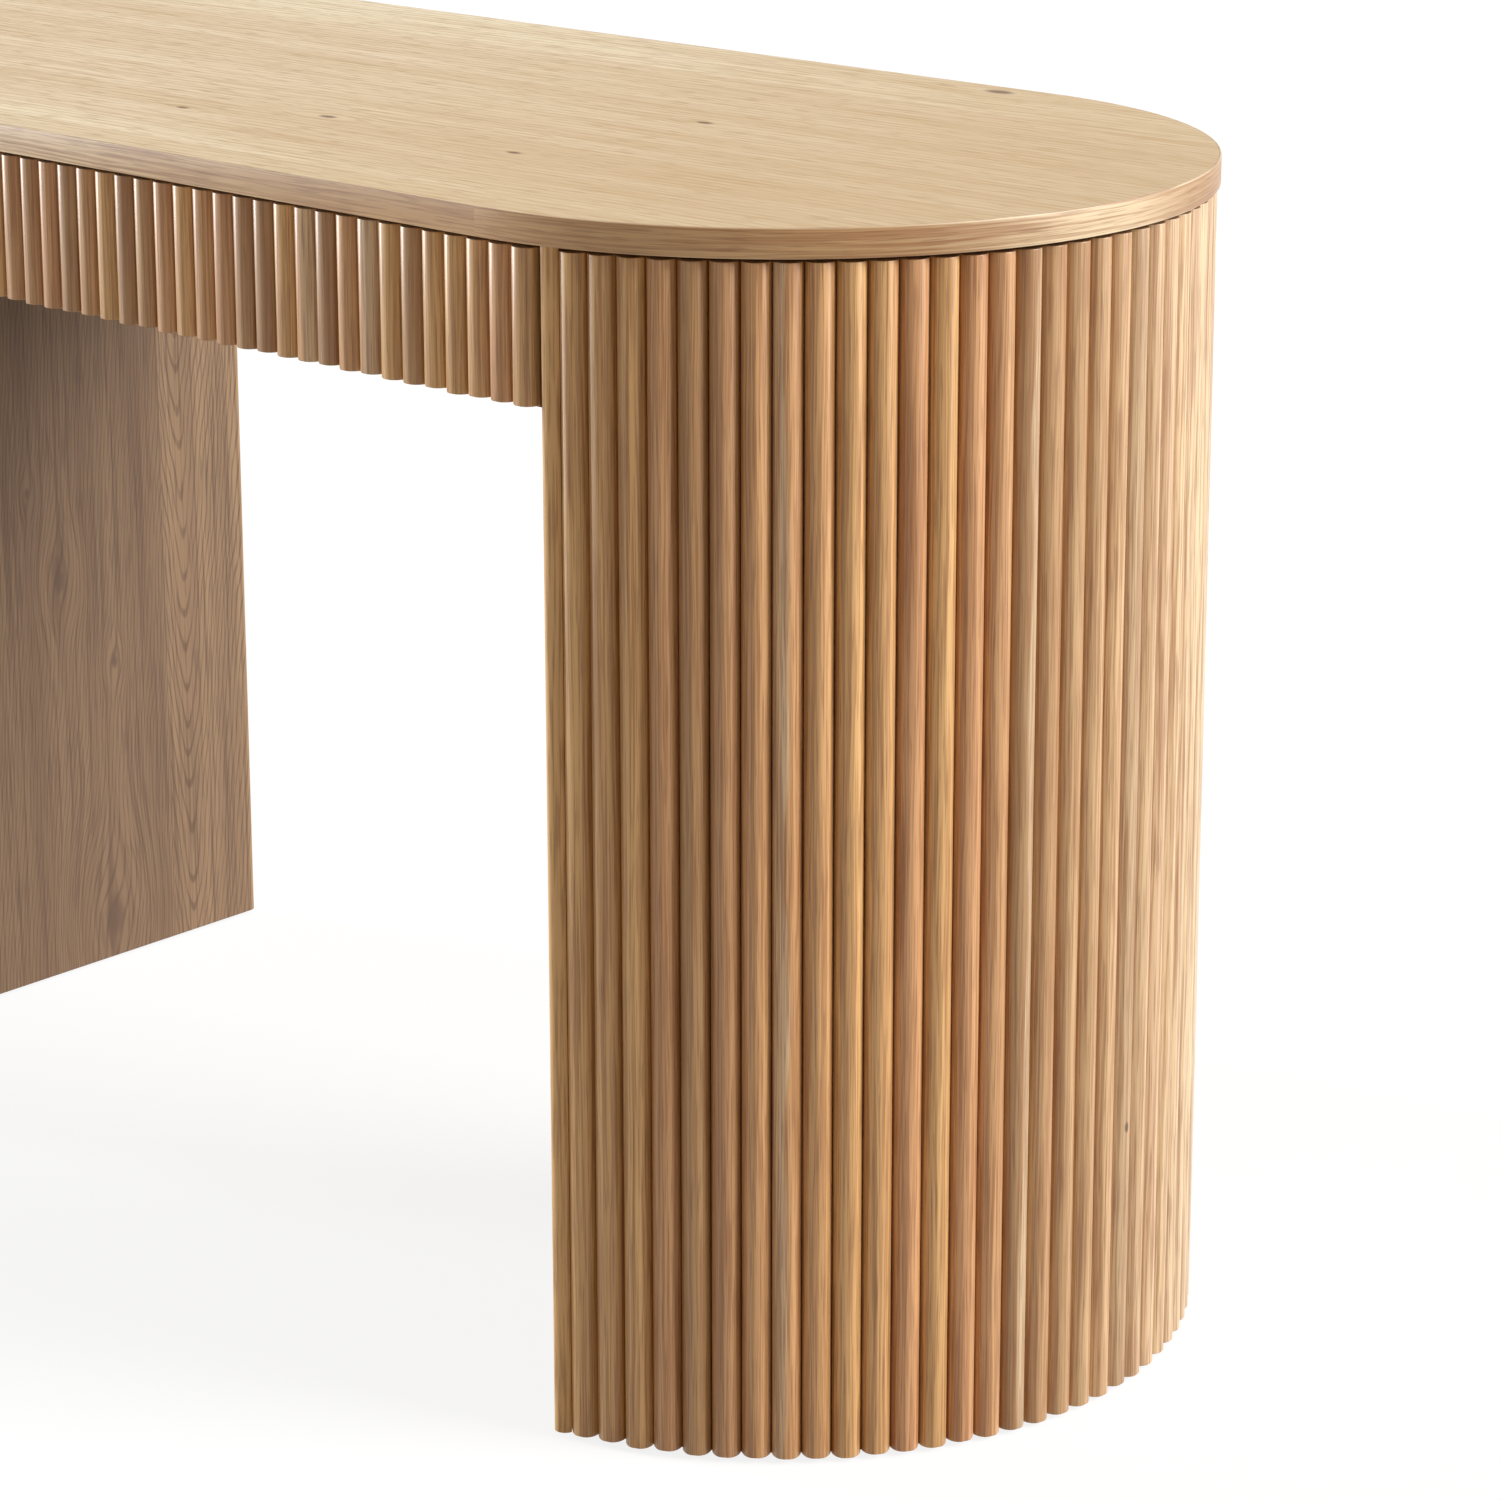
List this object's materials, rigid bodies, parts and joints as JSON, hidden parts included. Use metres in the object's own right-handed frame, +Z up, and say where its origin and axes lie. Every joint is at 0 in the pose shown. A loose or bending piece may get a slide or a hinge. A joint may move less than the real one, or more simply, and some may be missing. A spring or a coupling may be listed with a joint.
{
  "type": "tambour desk",
  "caption": "Pill-shaped writing desk with slat-clad D-shaped pedestals, a flat worktop with rounded ends and a wide slatted drawer on telescopic slides.",
  "frame": {"origin": "on the floor under the middle of the desk", "axes": "+X along the desk, -Y towards the sitter, +Z up"},
  "size_m": [1.2998, 0.54, 0.76],
  "materials": {
    "oak_veneer_top": "satin lacquered oak veneer",
    "oak_edge_band": "satin lacquered oak strip",
    "oak_veneer_panel": "satin lacquered oak veneer",
    "oak_slats": "satin lacquered solid oak",
    "plywood": "stained plywood",
    "drawer_ply": "clear lacquered birch plywood",
    "hardboard": "smooth veneered hardboard",
    "beech": "plain fluted beech",
    "nylon": "moulded nylon",
    "zinc_steel": "zinc plated steel"
  },
  "bodies": {
    "desk": {"worktop": "oak_veneer_top", "worktop_edge_band": "oak_edge_band", "rear_rail": "plywood", "rear_rail_slats": "oak_slats", "worktop_brackets": "zinc_steel", "rear_rail_brackets": "zinc_steel", "bracket_screws": "zinc_steel", "slide_panel_screws": "zinc_steel", "left_inner_panel": "oak_veneer_panel", "right_inner_panel": "oak_veneer_panel", "left_curved_shell": "plywood", "right_curved_shell": "plywood", "left_pedestal_slats": "oak_slats", "right_pedestal_slats": "oak_slats", "left_base_plate": "plywood", "right_base_plate": "plywood", "left_middle_ribs": "plywood", "right_middle_ribs": "plywood", "left_top_plate": "plywood", "right_top_plate": "plywood", "left_glides": "nylon", "right_glides": "nylon", "left_top_dowels": "beech", "right_top_dowels": "beech", "left_slide_outer": "zinc_steel", "right_slide_outer": "zinc_steel"},
    "drawer": {"drawer_front_panel": "plywood", "drawer_front_slats": "oak_slats", "drawer_box_front": "drawer_ply", "drawer_box_back": "drawer_ply", "left_drawer_side": "drawer_ply", "right_drawer_side": "drawer_ply", "drawer_bottom": "hardboard", "drawer_front_screws": "zinc_steel", "slide_drawer_screws": "zinc_steel", "left_slide_inner": "zinc_steel", "right_slide_inner": "zinc_steel"},
    "left_slide_carriage": {"left_slide_middle": "zinc_steel"},
    "right_slide_carriage": {"right_slide_middle": "zinc_steel"}
  },
  "joints": [
    {"name": "drawer_slide", "type": "slide", "parent": "desk", "child": "drawer", "axis": [0, -1, 0], "range_m": [0, 0.36]},
    {"name": "left_carriage_slide", "type": "slide", "parent": "desk", "child": "left_slide_carriage", "axis": [0, -1, 0], "range_m": [0, 0.18]},
    {"name": "right_carriage_slide", "type": "slide", "parent": "desk", "child": "right_slide_carriage", "axis": [0, -1, 0], "range_m": [0, 0.18]}
  ],
  "couplings": [
    {"joint": "left_carriage_slide", "follows": "drawer_slide", "ratio": 0.5},
    {"joint": "right_carriage_slide", "follows": "drawer_slide", "ratio": 0.5}
  ]
}
